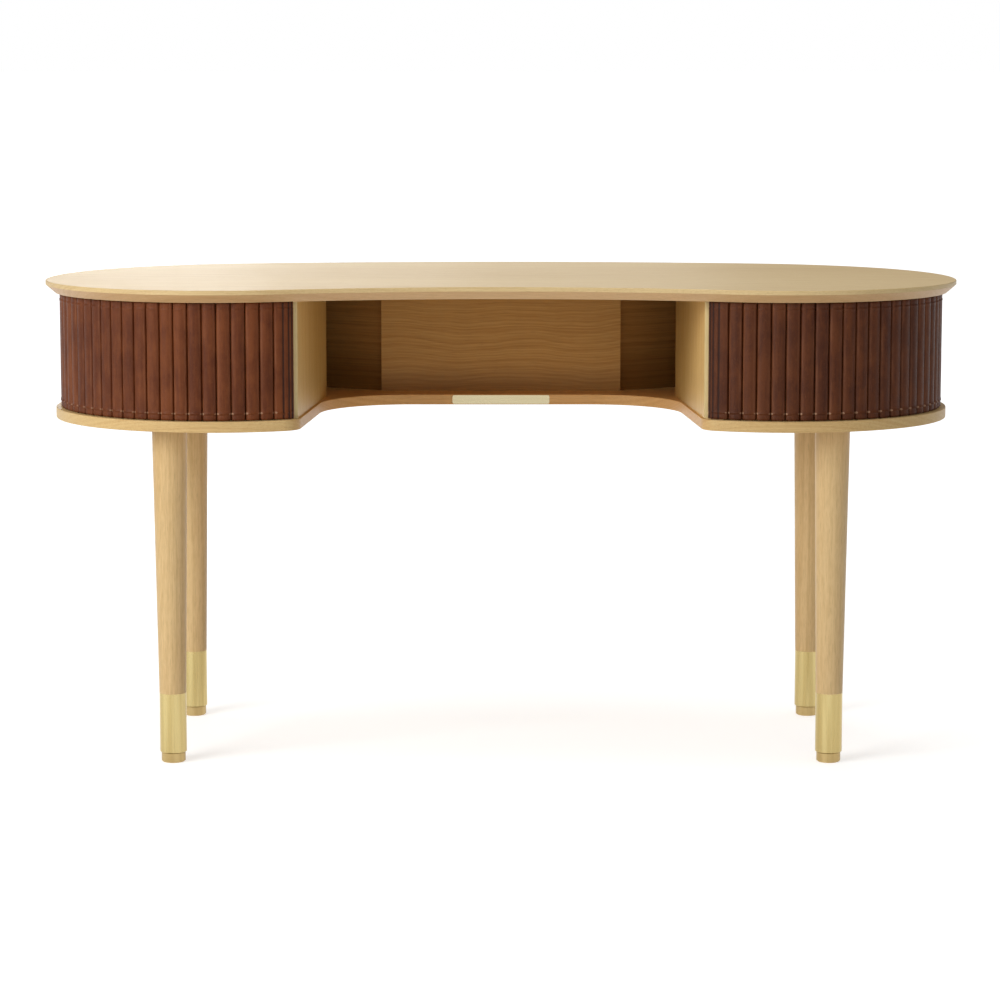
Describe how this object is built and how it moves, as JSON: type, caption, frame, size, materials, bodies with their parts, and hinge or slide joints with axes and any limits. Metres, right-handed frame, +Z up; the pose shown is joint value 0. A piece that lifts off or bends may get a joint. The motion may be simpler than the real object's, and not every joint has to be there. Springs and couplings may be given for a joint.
{
  "type": "tambour desk",
  "caption": "Kidney-shaped writing desk; rounded pedestals closed by leather-faced tambours that slide round behind the sides, over tapered round legs with brass ferrules.",
  "frame": {"origin": "on the floor under the middle of the desk's plan", "axes": "+Z up, +X to the sitter's right along the desk, +Y away from the sitter"},
  "size_m": [1.48, 0.7, 0.765],
  "materials": {
    "oak_top": "satin lacquered pale oak, grain along the desk",
    "oak_case": "satin lacquered oak",
    "oak_leg": "satin lacquered oak, grain along the leg",
    "bent_ply": "satin bent plywood",
    "slat_wood": "plain sanded hardwood",
    "brown_leather": "soft satin leather, mottled",
    "canvas_backing": "plain woven canvas",
    "satin_brass": "satin brushed brass",
    "pale_brass": "satin pale brass",
    "fixing_steel": "plain zinc plated steel",
    "glide_plastic": "slippery matte nylon",
    "stop_rubber": "matte black rubber"
  },
  "bodies": {
    "carcass": {"desk_top": "oak_top", "lower_shelf": "oak_case", "left_divider": "oak_case", "right_divider": "oak_case", "center_panel": "oak_case", "left_rear_wall": "oak_case", "right_rear_wall": "oak_case", "back_panel": "oak_case", "left_liner": "bent_ply", "left_glide_strip": "glide_plastic", "left_track_stop": "stop_rubber", "right_liner": "bent_ply", "right_glide_strip": "glide_plastic", "right_track_stop": "stop_rubber", "left_front_leg": "oak_leg", "left_front_ferrule": "satin_brass", "right_front_leg": "oak_leg", "right_front_ferrule": "satin_brass", "left_rear_leg": "oak_leg", "left_rear_ferrule": "satin_brass", "right_rear_leg": "oak_leg", "right_rear_ferrule": "satin_brass", "leg_bolts": "fixing_steel", "leg_nuts": "fixing_steel", "foot_inserts": "fixing_steel", "shelf_screws": "fixing_steel", "top_dowels": "slat_wood", "brass_plate": "pale_brass", "plate_pins": "pale_brass"},
    "left_tambour": {"left_lead_rail": "slat_wood", "left_lead_leather": "brown_leather", "left_slats": "slat_wood", "left_slat_leather": "brown_leather", "left_canvas": "canvas_backing"},
    "right_tambour": {"right_lead_rail": "slat_wood", "right_lead_leather": "brown_leather", "right_slats": "slat_wood", "right_slat_leather": "brown_leather", "right_canvas": "canvas_backing"},
    "left_front_leveller": {"left_front_foot": "satin_brass"},
    "right_front_leveller": {"right_front_foot": "satin_brass"},
    "left_rear_leveller": {"left_rear_foot": "satin_brass"},
    "right_rear_leveller": {"right_rear_foot": "satin_brass"}
  },
  "joints": [
    {"name": "left_tambour_slide", "type": "hinge", "parent": "carcass", "child": "left_tambour", "pos_m": [-0.454, -0.064, 0.652], "axis": [0, 0, -1], "range_deg": [0, 95.5]},
    {"name": "right_tambour_slide", "type": "hinge", "parent": "carcass", "child": "right_tambour", "pos_m": [0.454, -0.064, 0.652], "axis": [0, 0, 1], "range_deg": [0, 95.5]},
    {"name": "left_front_leveller_turn", "type": "hinge", "parent": "carcass", "child": "left_front_leveller", "pos_m": [-0.5265, -0.238, 0.008], "axis": [0, 0, 1], "continuous": true},
    {"name": "right_front_leveller_turn", "type": "hinge", "parent": "carcass", "child": "right_front_leveller", "pos_m": [0.5265, -0.238, 0.008], "axis": [0, 0, 1], "continuous": true},
    {"name": "left_rear_leveller_turn", "type": "hinge", "parent": "carcass", "child": "left_rear_leveller", "pos_m": [-0.5265, 0.146, 0.008], "axis": [0, 0, 1], "continuous": true},
    {"name": "right_rear_leveller_turn", "type": "hinge", "parent": "carcass", "child": "right_rear_leveller", "pos_m": [0.5265, 0.146, 0.008], "axis": [0, 0, 1], "continuous": true}
  ]
}
